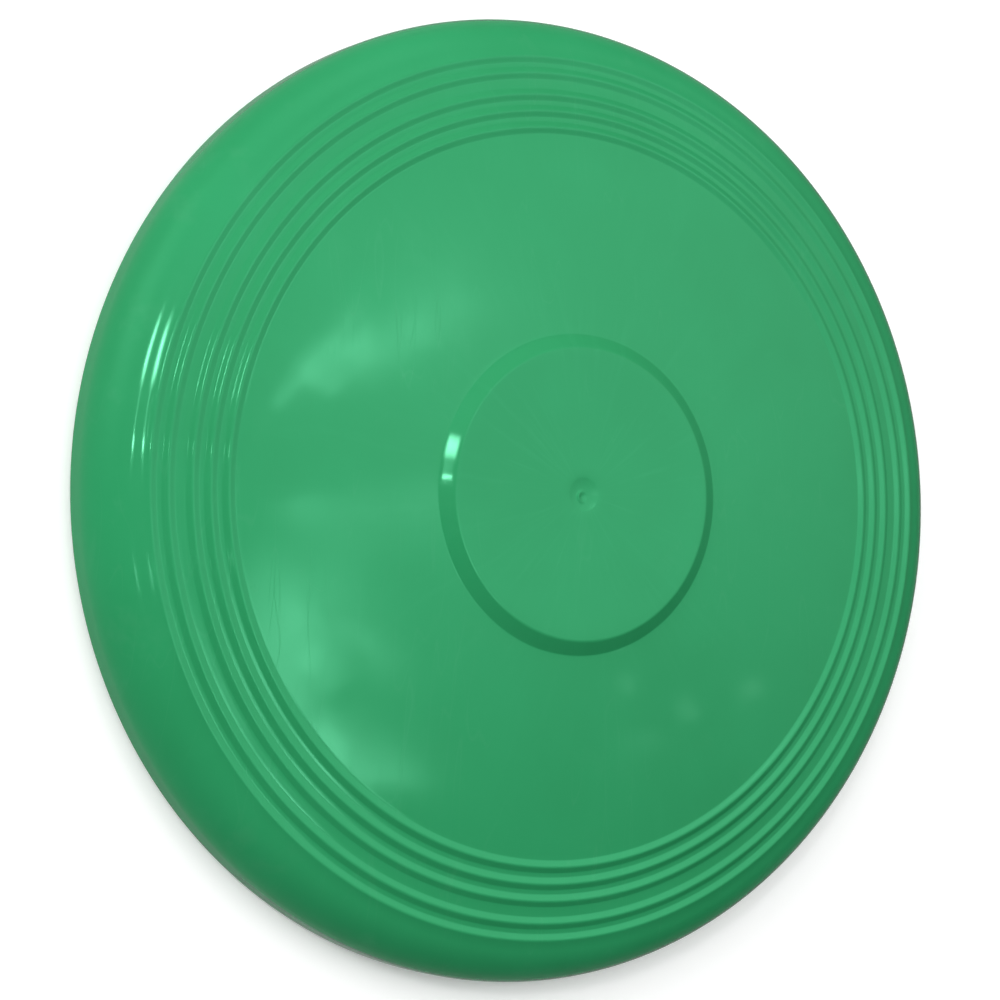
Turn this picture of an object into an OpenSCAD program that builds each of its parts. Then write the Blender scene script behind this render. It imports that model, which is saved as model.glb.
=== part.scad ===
// Flying disc for lawn games, moulded in one piece.
// A thin spherical crown carries a raised centre boss and rings of half-round ribs. A rounded
// shoulder turns it down into a short side wall that ends in a thicker lip, open underneath.
// It stands on its lip: the origin is the centre of the lip's land, and +Z is the spin axis.

/* [Disc] */
// Outer diameter, measured over the side wall
disc_d = 230; // [210:1:240]
// Height from the lip's land to the top of the centre boss
disc_h = 31.7; // [31:0.1:40]
// Spherical radius of the crown's upper face
crown_r = 465; // [440:5:600]
// Radius of the shoulder between the crown and the side wall
shoulder_r = 14; // [11:0.5:16]
// Thickness of the crown, shoulder and side wall
wall_t = 1.8; // [1.4:0.1:2.4]

/* [Ribs] */
// Number of ribs in the inner group
inner_ribs = 3; // [1:1:3]
// Number of ribs in the outer group
outer_ribs = 2; // [1:1:2]
// Distance from the disc's outer edge in to the first rib's crest
rib_inset = 28.3; // [28:0.1:36]
// Distance between neighbouring crests within a group
rib_pitch = 4; // [3.6:0.1:4.2]
// Distance between the two groups' facing crests
group_gap = 5.3; // [4:0.1:5.5]
// Width of one rib at its foot
rib_w = 3.1; // [2:0.1:3.4]
// Height of one rib above the crown
rib_h = 0.55; // [0.3:0.05:0.8]

/* [Centre boss] */
// Diameter of the boss at its foot
boss_d = 75; // [60:1:100]
// Rise of the boss above the crown at its foot
boss_h = 2; // [1:0.1:3]
// Width of the sloping edge of the boss, seen from above
bevel_w = 3.3; // [2:0.1:5]
// Edge radius between the slope and the top of the boss
boss_edge_r = 2; // [1:0.1:3]
// Diameter of the shallow dish around the gate mark
gate_dish_d = 8; // [5:0.5:12]
// Depth of that dish
gate_dish_depth = 0.35; // [0.2:0.05:0.5]
// Diameter of the gate mark's nub, which ends below the top of the boss
gate_nub_d = 1.4; // [0.8:0.1:2]

/* [Lip] */
// Thickness of the lip at its land
lip_t = 4; // [3.6:0.1:5]
// Height of the thickened lip
lip_h = 5; // [3:0.1:6]
// Corner radius of the lip
lip_edge_r = 1; // [0.5:0.1:1.2]

/* [Hidden] */

$fn = 180;
overcut = 1;

disc_r = disc_d / 2;
boss_r = boss_d / 2;
boss_top_r = boss_r - bevel_w;

// height that the crown falls from its middle to radius r
function crown_fall(r) = crown_r - sqrt(crown_r * crown_r - r * r);

// the crown's sphere meets the boss's foot at boss_h below the top
foot_z = disc_h - boss_h;
crown_z = foot_z + crown_fall(boss_r) - crown_r;

// the shoulder's circle touches the crown's circle from inside and the side wall's line
shoulder_x = disc_r - shoulder_r;
centres_apart = crown_r - shoulder_r;
shoulder_z = crown_z + sqrt(centres_apart * centres_apart - shoulder_x * shoulder_x);
blend_x = shoulder_x * crown_r / centres_apart;
inner_blend_x = shoulder_x * (crown_r - wall_t) / centres_apart;

// each rib is the cap of a circle whose centre is sunk below the crown
rib_r = (rib_w * rib_w / 4 + rib_h * rib_h) / (2 * rib_h);
rib_centre_r = crown_r + rib_h - rib_r;
first_rib = disc_r - rib_inset;
outer_group = first_rib + (inner_ribs - 1) * rib_pitch + group_gap;
rib_radii = [
    for (i = [0 : inner_ribs - 1]) first_rib + i * rib_pitch,
    for (i = [0 : outer_ribs - 1]) outer_group + i * rib_pitch
];

// the slope of the boss's edge falls outwards by this angle
bevel_angle = atan2(boss_h, bevel_w);

// the gate's dish is the cap of a sphere, and the nub stands up from its bottom
gate_dish_r = (gate_dish_d * gate_dish_d / 4 + gate_dish_depth * gate_dish_depth) / (2 * gate_dish_depth);
gate_nub_h = gate_dish_depth * 0.7;

// Area between the corner p and an arc of radius r that touches both of its edges, which leave
// the corner at angles a and b. Taken from a convex corner, or added to a concave one.
module corner_web(p, a, b, r) {
    half = (b - a) / 2;
    reach = r / tan(half);
    centre = p + r / sin(half) * [cos(a + half), sin(a + half)];
    difference() {
        polygon([p, p + reach * [cos(a), sin(a)], centre, p + reach * [cos(b), sin(b)]]);
        translate(centre) circle(r = r);
    }
}

// Half section of the crown and shoulder, from the axis outwards, filled down to the land
module crown_section() {
    intersection() {
        translate([0, crown_z]) circle(r = crown_r);
        square([blend_x, disc_h]);
    }
    intersection() {
        translate([shoulder_x, shoulder_z]) circle(r = shoulder_r);
        square([disc_r, disc_h]);
    }
    square([disc_r, shoulder_z]);
}

// Half sections of all ribs, as whole circles that the crown hides except for their caps
module rib_sections() {
    for (r = rib_radii) {
        lean = asin(r / crown_r);
        translate([rib_centre_r * sin(lean), crown_z + rib_centre_r * cos(lean)]) circle(r = rib_r);
    }
}

// Half section of the boss, with its radius changed by "grow" and its height by "lift"
module boss_section(grow, lift) {
    polygon([
        [0, foot_z - boss_h + lift],
        [boss_r + grow, foot_z - boss_h + lift],
        [boss_r + grow, foot_z + lift],
        [boss_top_r + grow, disc_h + lift],
        [0, disc_h + lift]
    ]);
}

// Half section of the open space under the disc
module hollow_section() {
    intersection() {
        translate([0, crown_z]) circle(r = crown_r - wall_t);
        square([inner_blend_x, disc_h]);
    }
    intersection() {
        translate([shoulder_x, shoulder_z]) circle(r = shoulder_r - wall_t);
        translate([0, lip_h]) square([disc_r, disc_h]);
    }
    if (shoulder_z > lip_h) translate([0, lip_h]) square([disc_r - wall_t, shoulder_z - lip_h]);
    translate([0, -overcut]) square([disc_r - lip_t, lip_h + 2 * overcut]);
    // the boss is hollow underneath: moved in by this much, its slope keeps the same wall
    boss_section(-wall_t * tan(bevel_angle / 2), -wall_t);
}

module disc_section() {
    lip_x = disc_r - lip_t;
    difference() {
        union() {
            crown_section();
            rib_sections();
            boss_section(0, 0);
        }
        hollow_section();
        corner_web([disc_r, 0], 90, 180, lip_edge_r);
        corner_web([lip_x, 0], 0, 90, lip_edge_r);
        corner_web([lip_x, lip_h], -90, 0, lip_edge_r);
        corner_web([boss_top_r, disc_h], 180, 360 - bevel_angle, boss_edge_r);
    }
}

module gate_mark() {
    difference() {
        translate([0, 0, disc_h - gate_dish_depth + gate_dish_r]) sphere(r = gate_dish_r);
        translate([0, 0, disc_h - gate_dish_depth - overcut])
            cylinder(d = gate_nub_d, h = overcut + gate_nub_h);
    }
}

module disc() {
    color("mediumseagreen") difference() {
        rotate_extrude() disc_section();
        gate_mark();
    }
}

disc();
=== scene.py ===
import math

import bmesh
import bpy
from mathutils import Matrix, Vector, noise


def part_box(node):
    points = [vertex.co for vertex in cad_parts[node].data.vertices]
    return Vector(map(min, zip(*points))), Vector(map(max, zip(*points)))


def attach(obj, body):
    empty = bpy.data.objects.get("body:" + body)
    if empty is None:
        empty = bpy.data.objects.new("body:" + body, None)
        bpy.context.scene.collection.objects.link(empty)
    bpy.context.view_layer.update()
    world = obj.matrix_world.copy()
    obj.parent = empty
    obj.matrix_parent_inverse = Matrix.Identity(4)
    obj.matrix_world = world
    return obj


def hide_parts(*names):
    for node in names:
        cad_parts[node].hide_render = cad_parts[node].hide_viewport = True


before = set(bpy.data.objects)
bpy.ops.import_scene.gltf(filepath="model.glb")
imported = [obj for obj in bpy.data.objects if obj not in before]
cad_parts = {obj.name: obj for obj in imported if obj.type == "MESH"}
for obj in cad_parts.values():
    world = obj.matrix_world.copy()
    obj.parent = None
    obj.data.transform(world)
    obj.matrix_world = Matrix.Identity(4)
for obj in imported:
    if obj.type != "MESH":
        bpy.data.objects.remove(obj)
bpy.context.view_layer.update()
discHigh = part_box("disc")[1]
print("frame loaded")

mm = 0.001


# sizes are metres, measured on the section from the spin axis outwards
disc = {
    "crownRadius": 465 * mm,
    "wall": 1.8 * mm,
    "shoulderRadius": 14 * mm,
    "ribInset": 28.3 * mm,
    "ribGroups": (3, 2),
    "ribPitch": 4 * mm,
    "groupGap": 5.3 * mm,
    "ribWidth": 3.1 * mm,
    "ribHeight": 0.55 * mm,
    "ribCrest": 1 * mm,
    "ribFoot": 0.9 * mm,
    "ribSlope": 23,             # degrees between a rib's straight flank and the crown
    "lastRibFillet": 16 * mm,   # the outermost rib runs out into the shoulder
    "bossRadius": 37.5 * mm,
    "bossRise": 2 * mm,
    "bevelWidth": 3.3 * mm,
    "bossEdge": 1.6 * mm,
    "bossFoot": 1 * mm,
    "gateDish": 4 * mm,
    "gateDepth": 0.35 * mm,
    "lip": 4 * mm,
    "lipHeight": 5 * mm,
    "lipEdge": 1 * mm,
    "segments": 288,
    "weld": 0.001 * mm,         # points closer than this become one
    "warp": 0.05 * mm,          # how far the thin crown has sunk unevenly in cooling
    "warpSize": 34 * mm,
    "warpFromRibs": 12 * mm,    # the settling grows to its full depth over these distances
    "warpFromGate": 10 * mm,
    "warpPlace": (3.1, 7.4, 0),
}

# how many edges each stretch of the section is drawn with
steps = {
    "dish": 26,
    "bossTop": 14,
    "bossEdge": 7,
    "bevel": 5,
    "bossFoot": 5,
    "crown": 40,
    "betweenRibs": 3,
    "ribFoot": 3,
    "ribFlank": 2,
    "ribCrest": 8,
    "lastRibFillet": 5,
    "shoulder": 34,
    "sideWall": 4,
    "lipEdge": 7,
    "land": 2,
    "lipInside": 3,
    "lipTop": 6,
    "innerFillet": 5,
    "innerShoulder": 18,
    "innerCrown": 26,
    "innerBevel": 4,
    "roof": 10,
}


class Pen:
    # draws a half section in the XZ plane, one chain of edges

    def __init__(self, bm, r, z):
        self.bm = bm
        self.tip = bm.verts.new((r, 0, z))

    def line(self, r, z, count=1):
        stride = (Vector((r, 0, z)) - self.tip.co) / count
        for _ in range(count):
            self.tip = bmesh.ops.extrude_vert_indiv(self.bm, verts=[self.tip])["verts"][0]
            self.tip.co += stride

    def arc(self, centre, end, count):
        # swings the tip round centre until it faces end
        start = self.tip.co.xz - centre
        goal = end - centre
        turn = math.atan2(goal.x, goal.y) - math.atan2(start.x, start.y)
        turn = (turn + math.pi) % (2 * math.pi) - math.pi
        swept = bmesh.ops.spin(self.bm, geom=[self.tip], cent=(centre.x, 0, centre.y),
                               axis=(0, 1, 0), angle=turn, steps=count)
        self.tip = next(v for v in swept["geom_last"] if isinstance(v, bmesh.types.BMVert))


def circlesMeet(a, aRadius, b, bRadius):
    # where two circles cross, on the side away from the disc
    gap = (b - a).length
    along = (aRadius ** 2 - bRadius ** 2 + gap ** 2) / (2 * gap)
    across = math.sqrt(aRadius ** 2 - along ** 2)
    ahead = (b - a) / gap
    return a + ahead * along + Vector((ahead.y, -ahead.x)) * across


def towards(a, b, distance):
    return a + (b - a).normalized() * distance


def ribRadii(outerRadius):
    r = outerRadius - disc["ribInset"]
    inner, outer = disc["ribGroups"]
    radii = [r + i * disc["ribPitch"] for i in range(inner)]
    r = radii[-1] + disc["groupGap"]
    return radii + [r + i * disc["ribPitch"] for i in range(outer)]


def filletCentre(point, downhill, outward, radius, base, baseRadius):
    # centre of the hollow fillet between a slope through point and the round base below it
    start = point + outward * radius
    ahead = (start - base).dot(downhill)
    room = ahead ** 2 - (start - base).length ** 2 + (baseRadius + radius) ** 2
    return start - downhill * (ahead + math.sqrt(room))


def drawRib(pen, radius, crown, shoulder=None):
    # straight flanks, a round crest and hollow feet; the outermost rib runs out onto the shoulder
    crest, foot, slope = disc["ribCrest"], disc["ribFoot"], math.radians(disc["ribSlope"])
    lean = math.asin(radius / disc["crownRadius"])

    def facing(angle):
        return Vector((math.sin(lean + angle), math.cos(lean + angle)))

    top = crown + facing(0) * (disc["crownRadius"] + disc["ribHeight"] - crest)
    inner, outer = facing(-slope), facing(slope)
    innerFoot = filletCentre(top + inner * crest, Vector((-inner.y, inner.x)), inner, foot,
                             crown, disc["crownRadius"])
    pen.arc(crown, towards(crown, innerFoot, disc["crownRadius"]), steps["betweenRibs"])
    pen.arc(innerFoot, innerFoot - inner * foot, steps["ribFoot"])
    pen.line(*(top + inner * crest), steps["ribFlank"])
    if shoulder:
        fillet = disc["lastRibFillet"]
        reach = disc["shoulderRadius"] + fillet
        outerFoot = circlesMeet(shoulder, reach, top, crest + fillet)
        pen.arc(top, towards(top, outerFoot, crest), steps["ribCrest"])
        pen.arc(outerFoot, towards(shoulder, outerFoot, disc["shoulderRadius"]), steps["lastRibFillet"])
    else:
        outerFoot = filletCentre(top + outer * crest, Vector((outer.y, -outer.x)), outer, foot,
                                 crown, disc["crownRadius"])
        pen.arc(top, top + outer * crest, steps["ribCrest"])
        pen.line(*(outerFoot - outer * foot), steps["ribFlank"])
        pen.arc(outerFoot, towards(crown, outerFoot, disc["crownRadius"]), steps["ribFoot"])


def drawSection(bm, outerRadius, height):
    edge = disc["bossEdge"]
    slope = math.atan2(disc["bossRise"], disc["bevelWidth"])
    downhill = Vector((math.cos(slope), -math.sin(slope)))
    outward = Vector((math.sin(slope), math.cos(slope)))
    bossFoot = Vector((disc["bossRadius"], height - disc["bossRise"]))
    bossTop = bossFoot - Vector((disc["bevelWidth"], -disc["bossRise"]))
    fall = disc["crownRadius"] - math.sqrt(disc["crownRadius"] ** 2 - bossFoot.x ** 2)
    crown = Vector((0, bossFoot.y + fall - disc["crownRadius"]))
    shoulderX = outerRadius - disc["shoulderRadius"]
    centresApart = disc["crownRadius"] - disc["shoulderRadius"]
    shoulder = Vector((shoulderX, crown.y + math.sqrt(centresApart ** 2 - shoulderX ** 2)))

    # gate dish and the boss's flat top
    dish, depth = disc["gateDish"], disc["gateDepth"]
    dishCentre = Vector((0, height - depth + (dish ** 2 + depth ** 2) / (2 * depth)))
    pen = Pen(bm, 0, height - depth)
    pen.arc(dishCentre, Vector((dish, height)), steps["dish"])
    reach = edge * math.tan(slope / 2)
    pen.line(bossTop.x - reach, height, steps["bossTop"])

    # rounded edge, slope, and the hollow fillet where the slope meets the crown
    pen.arc(Vector((bossTop.x - reach, height - edge)), bossTop + downhill * reach, steps["bossEdge"])
    foot = filletCentre(bossFoot, downhill, outward, disc["bossFoot"], crown, disc["crownRadius"])
    pen.line(*(foot - outward * disc["bossFoot"]), steps["bevel"])
    pen.arc(foot, towards(crown, foot, disc["crownRadius"]), steps["bossFoot"])

    # crown out to the first rib, the ribs, then the shoulder and the side wall
    radii = ribRadii(outerRadius)
    lead = radii[0] - disc["ribWidth"]
    leadZ = crown.y + math.sqrt(disc["crownRadius"] ** 2 - lead ** 2)
    pen.arc(crown, Vector((lead, leadZ)), steps["crown"])
    for radius in radii[:-1]:
        drawRib(pen, radius, crown)
    drawRib(pen, radii[-1], crown, shoulder)
    pen.arc(shoulder, Vector((outerRadius, shoulder.y)), steps["shoulder"])
    corner = disc["lipEdge"]
    pen.line(outerRadius, corner, steps["sideWall"])

    # the lip, round under its land and up the inside
    landX = outerRadius - corner
    pen.arc(Vector((landX, corner)), Vector((landX, 0)), steps["lipEdge"])
    lipX = outerRadius - disc["lip"]
    pen.line(lipX + corner, 0, steps["land"])
    pen.arc(Vector((lipX + corner, corner)), Vector((lipX, corner)), steps["lipEdge"])
    pen.line(lipX, disc["lipHeight"] - corner, steps["lipInside"])
    lipTop = Vector((lipX + corner, disc["lipHeight"]))
    pen.arc(lipTop - Vector((0, corner)), lipTop, steps["lipTop"])
    innerX = outerRadius - disc["wall"]
    fillet = shoulder.y - disc["lipHeight"]
    pen.line(innerX - fillet, disc["lipHeight"])
    pen.arc(Vector((innerX - fillet, shoulder.y)), Vector((innerX, shoulder.y)), steps["innerFillet"])

    # the inside follows the outside at one wall's thickness, without the ribs
    innerCrown = disc["crownRadius"] - disc["wall"]
    pen.arc(shoulder, shoulder + (shoulder - crown), steps["innerShoulder"])
    inset = disc["wall"] * math.tan(slope / 2)
    roof = bossTop - Vector((inset, disc["wall"]))
    hollow = bossFoot - Vector((inset, disc["wall"]))
    hollowZ = crown.y + math.sqrt(innerCrown ** 2 - hollow.x ** 2)
    pen.arc(crown, Vector((hollow.x, hollowZ)), steps["innerCrown"])
    pen.line(roof.x, roof.y, steps["innerBevel"])
    pen.line(0, roof.y, steps["roof"])


def warpCrown(bm, outerRadius):
    # the thin crown isn't a true sphere: it has settled unevenly
    fade = outerRadius - disc["ribInset"] - 2 * disc["ribWidth"]
    for vert in bm.verts:
        r = vert.co.xy.length
        if r > fade:
            continue
        amount = min(1, (fade - r) / disc["warpFromRibs"]) * min(1, r / disc["warpFromGate"])
        flat = Vector((vert.co.x, vert.co.y, 0))
        wave = noise.noise(flat / disc["warpSize"] + Vector(disc["warpPlace"]))
        vert.co.z -= disc["warp"] * amount * (1 + wave)


# the scar of the torn gate, in millimetres
gate = {
    "reach": 3.4,
    "skin": 1,                  # only the face this close to the disc's top is shaped
    "centre": (0.6, -0.2),
    "crescentRadius": 1.2,
    "crescentWidth": 0.42,
    "crescentRise": 0.27,
    "pitPlace": 0.3,
    "pitSpread": 0.5,           # square millimetres
    "pitDepth": 0.1,
    "grain": 2.2,               # ripples to the millimetre
    "grainSpread": 3,           # square millimetres
    "grainDepth": 0.04,
}


def tearGate(bm, height):
    # the gate was torn off in the mould's middle: a raised crescent beside a small pit
    for vert in bm.verts:
        if vert.co.xy.length > gate["reach"] * mm or vert.co.z < height - gate["skin"] * mm:
            continue
        x, y = vert.co.x / mm - gate["centre"][0], vert.co.y / mm - gate["centre"][1]
        crescent = math.exp(-((math.hypot(x, y) - gate["crescentRadius"]) / gate["crescentWidth"]) ** 2)
        facing = 0.5 + 0.5 * math.cos(math.atan2(y, x) + math.pi / 2)
        pit = math.exp(-((x * x + (y - gate["pitPlace"]) ** 2) / gate["pitSpread"]))
        grain = noise.noise(Vector((x, y, 0)) * gate["grain"])
        grain = grain * math.exp(-(x * x + y * y) / gate["grainSpread"])
        rise = gate["crescentRise"] * crescent * facing ** 2
        vert.co.z += (rise - gate["pitDepth"] * pit + gate["grainDepth"] * grain) * mm


def makeDisc():
    bm = bmesh.new()
    outerRadius, height = discHigh.x, discHigh.z
    drawSection(bm, outerRadius, height)
    bmesh.ops.spin(bm, geom=bm.verts[:] + bm.edges[:], cent=(0, 0, 0), axis=(0, 0, 1),
                   angle=2 * math.pi, steps=disc["segments"], use_merge=True)
    bmesh.ops.remove_doubles(bm, verts=bm.verts[:], dist=disc["weld"])
    bmesh.ops.recalc_face_normals(bm, faces=bm.faces[:])
    warpCrown(bm, outerRadius)
    tearGate(bm, height)
    for face in bm.faces:
        face.smooth = True
    mesh = bpy.data.meshes.new("moulded_disc")
    bm.to_mesh(mesh)
    bm.free()
    piece = bpy.data.objects.new("moulded_disc", mesh)
    bpy.context.scene.collection.objects.link(piece)
    return piece


class Wire:
    # an output socket that takes part in Python sums

    def __init__(self, sheet, socket):
        self.sheet = sheet
        self.socket = socket

    def __add__(self, other):
        return self.sheet.maths("ADD", self, other)

    def __radd__(self, other):
        return self.sheet.maths("ADD", other, self)

    def __sub__(self, other):
        return self.sheet.maths("SUBTRACT", self, other)

    def __rsub__(self, other):
        return self.sheet.maths("SUBTRACT", other, self)

    def __mul__(self, other):
        return self.sheet.maths("MULTIPLY", self, other)

    def __rmul__(self, other):
        return self.sheet.maths("MULTIPLY", other, self)

    def __truediv__(self, other):
        return self.sheet.maths("DIVIDE", self, other)

    def __pow__(self, other):
        return self.sheet.maths("POWER", self, other)


class Sheet:
    # the node tree of a material or of the world

    def __init__(self, owner):
        self.owner = owner
        owner.use_nodes = True
        self.tree = owner.node_tree
        self.tree.nodes.clear()

    def add(self, kind, settings=None, sockets=None, out=0):
        node = self.tree.nodes.new(kind)
        for key, value in (settings or {}).items():
            setattr(node, key, value)
        for key, value in (sockets or {}).items():
            if isinstance(value, Wire):
                self.tree.links.new(value.socket, node.inputs[key])
            else:
                node.inputs[key].default_value = value
        return Wire(self, node.outputs[out]) if node.outputs else None

    def maths(self, operation, *values):
        return self.add("ShaderNodeMath", {"operation": operation}, dict(enumerate(values)))

    def dot(self, a, b):
        return self.add("ShaderNodeVectorMath", {"operation": "DOT_PRODUCT"}, {0: a, 1: b}, out=1)

    def mix(self, factor, a, b):
        return self.add("ShaderNodeMix", {"data_type": "RGBA"},
                        {"Factor": factor, "A": a, "B": b}, out=2)

    def between(self, value, low, high):
        # 0 below low, 1 above high, smooth in the middle
        return self.add("ShaderNodeMapRange", {"interpolation_type": "SMOOTHSTEP"},
                        {"Value": value, "From Min": low, "From Max": high})

    def speckle(self, vector, scale, detail=2, roughness=0.5, distortion=0):
        return self.add("ShaderNodeTexNoise", {"noise_dimensions": "3D"},
                        {"Vector": vector, "Scale": scale, "Detail": detail,
                         "Roughness": roughness, "Distortion": distortion})

    def finish(self, surface):
        self.add("ShaderNodeOutputMaterial", None, {"Surface": surface})
        return self.owner


plastic = {
    "green": (0.027, 0.31, 0.117, 1),
    "deepGreen": (0.025, 0.29, 0.107, 1),
    "paleGreen": (0.034, 0.325, 0.128, 1),
    "scuffed": (0.10, 0.38, 0.20, 1),
    "tint": (0.28, 1.0, 0.62, 1),
    "ior": 1.5,
    # noises, and between which of their values each look comes in
    "clouds": {"scale": 18, "detail": 3, "roughness": 0.55},
    "cloudBand": (0.35, 0.68),
    "flow": {"scale": 1.6, "detail": 4, "roughness": 0.6, "distortion": 0.4},
    "flowBand": (0.5, 0.75),
    "flowStrength": (0.12, 0.3),    # everywhere, and added near the gate
    "flowStretch": (9, 22),     # round the gate, and outwards from it
    "flowReach": (6 * mm, 60 * mm),
    "scuffs": {"scale": 55, "detail": 4, "roughness": 0.65},
    "scuffBand": (0.56, 0.7),
    "scuffStrength": 0.04,
    "rimWear": 0.12,
    "rimBand": (12 * mm, 2 * mm),   # in from the outer edge
    "lipWear": 0.5,
    "lipBand": (0.6 * mm, 5 * mm),  # up from the land
    "scuffColour": 0.6,
    "scratchColour": 0.05,
    "smears": {"scale": 27, "detail": 2, "roughness": 0.4, "distortion": 0.8},
    "smearBand": (0.4, 0.7),
    "gloss": 0.07,
    "smeared": 0.05,
    "scratched": 0.06,
    "dullest": 0.42,
    "polish": {"scale": 420, "detail": 2, "roughness": 0.5},
    "ripple": {"scale": 60, "detail": 2, "roughness": 0.45},
    "dimples": {"scale": 120, "detail": 1, "roughness": 0.4},
    "heights": {"polish": 0.004, "ripple": 0.06, "dimples": 0.03, "scratch": 0.012, "flow": 0.02},
    "bump": 0.35,
    # each family of scratches: its turn in degrees, its scale, and the scale of its patches
    "scratches": ((20, 16, 26), (75, 13, 31.5), (140, 19, 38)),
    "scratchStretch": 9,
    "scratchWidth": 0.006,
    "scratchPatches": (0.5, 0.62),
}


def greenPlastic(outerRadius):
    sheet = Sheet(bpy.data.materials.new("green_moulded_plastic"))
    spot = sheet.add("ShaderNodeTexCoord", out=3)
    split = sheet.add("ShaderNodeSeparateXYZ", None, {"Vector": spot})
    axes = split.socket.node.outputs
    x, y, z = (Wire(sheet, axes[i]) for i in range(3))
    radius = sheet.add("ShaderNodeVectorMath", {"operation": "LENGTH"},
                       {0: sheet.add("ShaderNodeCombineXYZ", None, {"X": x, "Y": y})}, out=1)
    angle = sheet.maths("ARCTAN2", y, x)

    # colour: slow clouds of pigment, faint flow lines that leave the gate, a paler outer lip
    clouds = sheet.speckle(spot, **plastic["clouds"])
    around, outwards = plastic["flowStretch"]
    flow = sheet.add("ShaderNodeCombineXYZ", None, {"X": angle * around, "Y": radius * outwards})
    flowLines = sheet.speckle(flow, **plastic["flow"])
    nearGate = 1 - sheet.between(radius, *plastic["flowReach"])
    cloudy = sheet.between(clouds, *plastic["cloudBand"])
    colour = sheet.mix(cloudy, plastic["deepGreen"], plastic["green"])
    everywhere, added = plastic["flowStrength"]
    streaked = sheet.between(flowLines, *plastic["flowBand"]) * (everywhere + nearGate * added)
    colour = sheet.mix(streaked, colour, plastic["paleGreen"])

    # wear: rubbed patches on the shoulder and lip, and short scratches everywhere
    rim = sheet.between(radius, *(outerRadius - inset for inset in plastic["rimBand"]))
    low = 1 - sheet.between(z, *plastic["lipBand"])
    wear = plastic["scuffStrength"] + rim * plastic["rimWear"] + low * plastic["lipWear"]
    scuff = sheet.between(sheet.speckle(spot, **plastic["scuffs"]), *plastic["scuffBand"]) * wear
    scratches = scratchLines(sheet, spot)
    worn = scuff * plastic["scuffColour"] + scratches * plastic["scratchColour"]
    colour = sheet.mix(worn, colour, plastic["scuffed"])

    # roughness: polished mould, with greasy smears and duller wear
    smears = sheet.speckle(spot, **plastic["smears"])
    rough = plastic["gloss"] + sheet.between(smears, *plastic["smearBand"]) * plastic["smeared"]
    rough = rough + scratches * plastic["scratched"] + scuff * (plastic["dullest"] - plastic["gloss"])

    # height in millimetres: mould polish, faint ripples of the melt front, dimples, scratches
    polish = sheet.speckle(spot, **plastic["polish"])
    ripple = sheet.speckle(spot, **plastic["ripple"])
    dimples = sheet.speckle(spot, **plastic["dimples"])
    rise = plastic["heights"]
    height = polish * rise["polish"] + ripple * rise["ripple"] + dimples * rise["dimples"]
    height = height - scratches * rise["scratch"] + flowLines * nearGate * rise["flow"]
    normal = sheet.add("ShaderNodeBump", None, {
        "Strength": plastic["bump"], "Distance": 1 * mm, "Height": height})

    surface = sheet.add("ShaderNodeBsdfPrincipled", None, {
        "Base Color": colour, "Roughness": rough, "Normal": normal,
        "IOR": plastic["ior"], "Specular Tint": plastic["tint"]})
    return sheet.finish(surface)


def scratchLines(sheet, spot):
    # families of hair scratches: where a stretched noise crosses its middle value, broken by patches
    total = 0.0
    for turn, scale, patchScale in plastic["scratches"]:
        turned = sheet.add("ShaderNodeMapping", None, {
            "Vector": spot, "Rotation": (0, 0, math.radians(turn)),
            "Scale": (1, plastic["scratchStretch"], 1)})
        lines = sheet.speckle(turned, scale, 1, 0.4)
        edge = sheet.maths("ABSOLUTE", lines - 0.5)
        patches = sheet.between(sheet.speckle(spot, patchScale, 1), *plastic["scratchPatches"])
        total = (1 - sheet.between(edge, 0.0, plastic["scratchWidth"])) * patches + total
    return total


studio = {
    "floorSize": 60,
    "backdrop": 0.84,
    "floor": (0.93, 0.93, 0.93, 1),
    "floorShade": (0.90, 0.90, 0.90, 1),
    "floorGlow": 0.2,
    "floorClouds": 3,
    "floorRoughness": 0.9,
    "floorGloss": 0.1,
    "cloudScale": 24,           # the soft mottling that breaks up the bright gaps
}

# each lamp: bearing and height in degrees as seen from the disc, distance and sides in metres, watts
lamps = {
    "key": {"bearing": 214, "height": 52, "distance": 2, "sides": (2.2, 1.6), "watts": 17.5},
    "side": {"bearing": 250, "height": 30, "distance": 2, "sides": (1.8, 1.2), "watts": 8.1},
}

# broad soft glows of the room: bearing and height in degrees, how tight, how bright
glows = {
    "overhead": {"bearing": 125, "height": 70, "tightness": 12, "strength": 1.3},
    "ceilingLeft": {"bearing": 222, "height": 56, "tightness": 14, "strength": 0.9},
    "lowLeft": {"bearing": 235, "height": 12, "tightness": 14, "strength": 1.3},
    "wallBack": {"bearing": 185, "height": 25, "tightness": 10, "strength": 0.8},
    "wallRight": {"bearing": 112, "height": 45, "tightness": 7, "strength": 0.95},
    "below": {"bearing": 0, "height": -90, "tightness": 1, "strength": 0.35},
}

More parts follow.
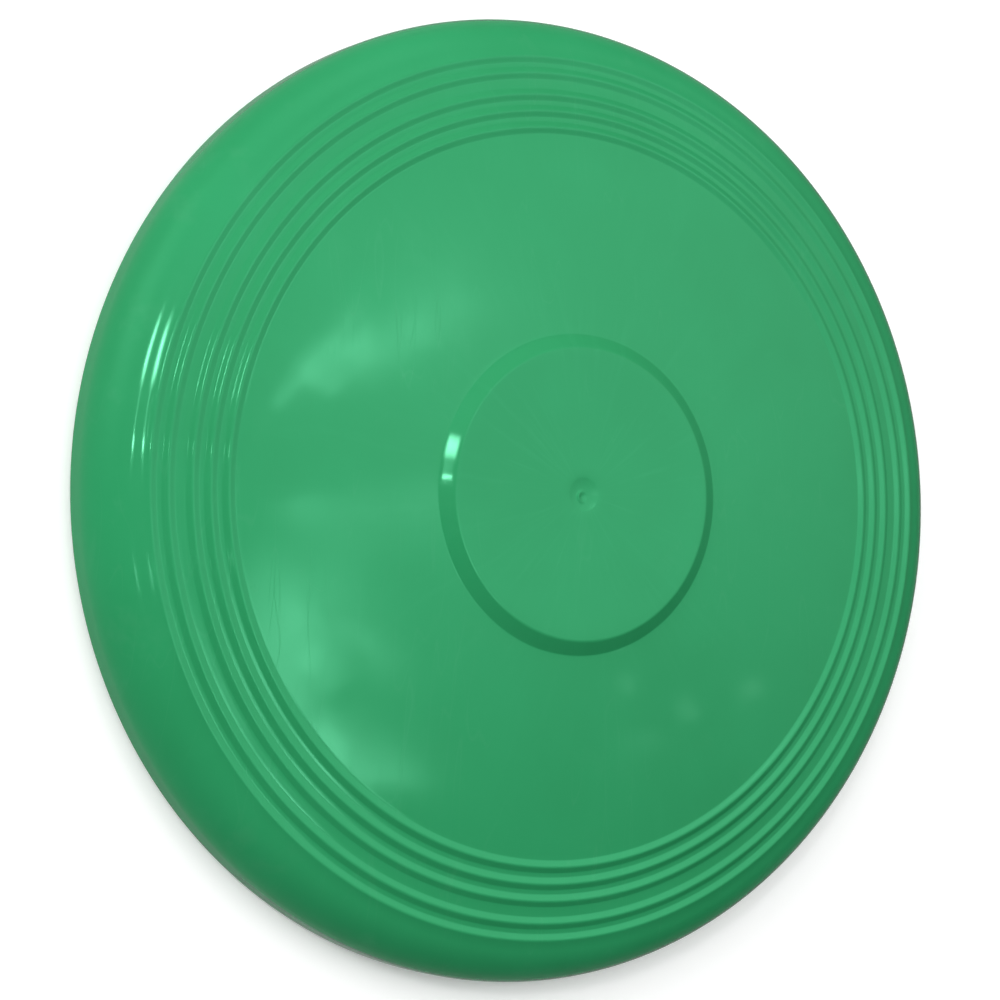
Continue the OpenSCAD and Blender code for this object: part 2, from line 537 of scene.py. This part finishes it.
# bright gaps in the room that the gloss mirrors: where each starts and ends (bearing, height),
# its width at the two ends in degrees, how bright, and how much of it is broken up
gaps = {
    "windowFrame": {"ends": ((229, 51), (242, 52.5)), "widths": (2.2, 2.6), "strength": 38, "broken": 0.1},
    "windowTop": {"ends": ((241, 53.5), (262, 54.5)), "widths": (0.8, 0.8), "strength": 6, "broken": 0.2},
    "bulb": {"ends": ((254, 55), (257, 55)), "widths": (1.0, 1.0), "strength": 60, "broken": 0},
    "smallBulb": {"ends": ((284.5, 52), (286.5, 52)), "widths": (0.7, 0.7), "strength": 60, "broken": 0},
    "slatA": {"ends": ((139.8, 78.8), (134.5, 69)), "widths": (0.3, 1.1), "strength": 5, "broken": 0.3},
    "slatB": {"ends": ((132.5, 75.5), (126.5, 63)), "widths": (0.5, 1.6), "strength": 3.2, "broken": 0.4},
    "hazeA": {"ends": ((137, 77.5), (126, 58)), "widths": (0.5, 4.5), "strength": 1.2, "broken": 0.4},
    "slatC": {"ends": ((98.5, 82.8), (94.5, 68)), "widths": (0.4, 2.2), "strength": 2.2, "broken": 0.5},
    "slatCSpot": {"ends": ((98, 81.4), (95.5, 79.4)), "widths": (0.8, 1.0), "strength": 2.0, "broken": 0},
    "slatD": {"ends": ((88, 79.5), (84, 74)), "widths": (0.3, 0.6), "strength": 1.5, "broken": 0.2},
    "curtain": {"ends": ((56, 82.5), (43, 74)), "widths": (4.6, 4.2), "strength": 7, "broken": 0.45},
    "curtainEdge": {"ends": ((26, 79.5), (37, 67)), "widths": (2.0, 2.4), "strength": 6, "broken": 0.45},
    "curtainFoot": {"ends": ((33, 70), (50, 63)), "widths": (2.4, 0.8), "strength": 5, "broken": 0.3},
    "curtainFold": {"ends": ((62, 76), (59, 69.5)), "widths": (0.5, 1.4), "strength": 2.4, "broken": 0.4},
    "leafA": {"ends": ((73, 53.2), (73.4, 51.6)), "widths": (0.5, 0.7), "strength": 1.5, "broken": 0},
    "leafB": {"ends": ((73.6, 47.4), (73.4, 45.4)), "widths": (0.6, 0.4), "strength": 1.7, "broken": 0.2},
    "leafC": {"ends": ((76.6, 42.4), (78.2, 40.2)), "widths": (0.7, 0.5), "strength": 1.4, "broken": 0.4},
    "leafD": {"ends": ((67.6, 51), (69.6, 47.8)), "widths": (0.4, 0.5), "strength": 1.6, "broken": 0.1},
}

# what all bright gaps share
gapShape = {
    "fadeIn": 0.4,              # the longest fade at the start, as a share of the gap's length
    "fadeOut": (0.7, 1.15),     # along that length
    "patches": (0.42, 0.6),     # between which values of the mottling a broken gap comes in
    "thisSide": (0.7, 0.8),     # cosine from the gap's middle, or the band would go on round the room
}

shot = {
    "aim": (1.42 * mm, -17.96 * mm, 23.7 * mm),
    "bearing": -85.097,
    "height": 59.782,
    "roll": 85.757,
    "distance": 694.66 * mm,
    "lens": 108,
    "sensor": 36,
    "nearest": 0.05,
    "farthest": 50,
}


def onSphere(bearing, height, distance):
    b, h = math.radians(bearing), math.radians(height)
    return Vector((math.cos(b) * math.cos(h), math.sin(b) * math.cos(h), math.sin(h))) * distance


def makeFloor():
    bm = bmesh.new()
    bmesh.ops.create_grid(bm, x_segments=4, y_segments=4, size=studio["floorSize"] / 2)
    mesh = bpy.data.meshes.new("floor")
    bm.to_mesh(mesh)
    bm.free()
    floor = bpy.data.objects.new("floor", mesh)
    bpy.context.scene.collection.objects.link(floor)
    sheet = Sheet(bpy.data.materials.new("pale_floor"))
    spot = sheet.add("ShaderNodeTexCoord", out=3)
    colour = sheet.mix(sheet.speckle(spot, studio["floorClouds"]), studio["floorShade"], studio["floor"])
    surface = sheet.add("ShaderNodeBsdfPrincipled", None, {
        "Base Color": colour, "Roughness": studio["floorRoughness"],
        "Specular IOR Level": studio["floorGloss"],
        "Emission Color": (1, 1, 1, 1), "Emission Strength": studio["floorGlow"]})
    mesh.materials.append(sheet.finish(surface))
    floor.visible_glossy = False   # the gloss mirrors the dim room, not this floor


def makeLamps():
    for name, lamp in lamps.items():
        light = bpy.data.lights.new(name, "AREA")
        light.shape = "RECTANGLE"
        light.size, light.size_y = lamp["sides"]
        light.energy = lamp["watts"]
        fixture = bpy.data.objects.new(name, light)
        place = onSphere(lamp["bearing"], lamp["height"], lamp["distance"])
        fixture.location = place + Vector(shot["aim"])
        fixture.rotation_euler = (-place).to_track_quat("-Z", "Y").to_euler()
        fixture.visible_camera = False
        fixture.visible_glossy = False   # only the room's glows and gaps show in the gloss
        bpy.context.scene.collection.objects.link(fixture)


def brightGap(sheet, facing, gap, clouds):
    # a band between two directions, soft across its width and fading at its ends
    start, end = (onSphere(*direction, 1) for direction in gap["ends"])
    ahead = (end - start).normalized()
    middle = (start + end).normalized()
    across = middle.cross(ahead)
    firstWidth, lastWidth = (math.sin(math.radians(width)) for width in gap["widths"])
    length = (end - start).length
    along = (sheet.dot(facing, ahead) - start.dot(ahead)) / length
    width = firstWidth + sheet.maths("MAXIMUM", along, 0.0) * (lastWidth - firstWidth)
    offset = (sheet.dot(facing, across) - start.dot(across)) / width
    soft = sheet.maths("EXPONENT", -1 * offset * offset)
    fadeIn = min(gapShape["fadeIn"], firstWidth / length)
    inside = sheet.between(along, -fadeIn, fadeIn) * (1 - sheet.between(along, *gapShape["fadeOut"]))
    patchy = (1 - gap["broken"]) + sheet.between(clouds, *gapShape["patches"]) * gap["broken"]
    thisSide = sheet.between(sheet.dot(facing, middle), *gapShape["thisSide"])
    return soft * inside * patchy * thisSide * gap["strength"]


def makeWorld():
    world = bpy.data.worlds.new("studio")
    bpy.context.scene.world = world
    sheet = Sheet(world)
    facing = sheet.add("ShaderNodeTexCoord")
    total = 0.0
    for glow in glows.values():
        near = sheet.dot(facing, onSphere(glow["bearing"], glow["height"], 1))
        near = sheet.maths("MAXIMUM", near, 0.0)
        total = near ** glow["tightness"] * glow["strength"] + total
    clouds = sheet.speckle(facing, studio["cloudScale"], 2, 0.55)
    for gap in gaps.values():
        total = brightGap(sheet, facing, gap, clouds) + total
    # the camera sees a plain pale backdrop behind the floor's edge, in place of the room
    seen = sheet.add("ShaderNodeLightPath")
    total = total * (1 - seen) + seen * studio["backdrop"]
    back = sheet.add("ShaderNodeBackground", None, {"Color": (1, 1, 1, 1), "Strength": total})
    sheet.add("ShaderNodeOutputWorld", None, {"Surface": back})


def makeCamera():
    camera = bpy.data.objects.new("camera", bpy.data.cameras.new("camera"))
    camera.data.lens = shot["lens"]
    camera.data.sensor_width = shot["sensor"]
    camera.data.clip_start, camera.data.clip_end = shot["nearest"], shot["farthest"]
    away = onSphere(shot["bearing"], shot["height"], 1)
    level = away.to_track_quat("Z", "Y").to_matrix()
    camera.rotation_euler = (level @ Matrix.Rotation(math.radians(shot["roll"]), 3, "Z")).to_euler()
    camera.location = Vector(shot["aim"]) + away * shot["distance"]
    bpy.context.scene.collection.objects.link(camera)
    bpy.context.scene.camera = camera
    bpy.context.scene.view_settings.view_transform = "Standard"


piece = makeDisc()
print("disc moulded:", len(piece.data.polygons), "faces")
piece.data.materials.append(greenPlastic(discHigh.x))
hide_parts("disc")
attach(piece, "root")
print("plastic mixed")

makeFloor()
makeLamps()
makeWorld()
makeCamera()
print("studio set")
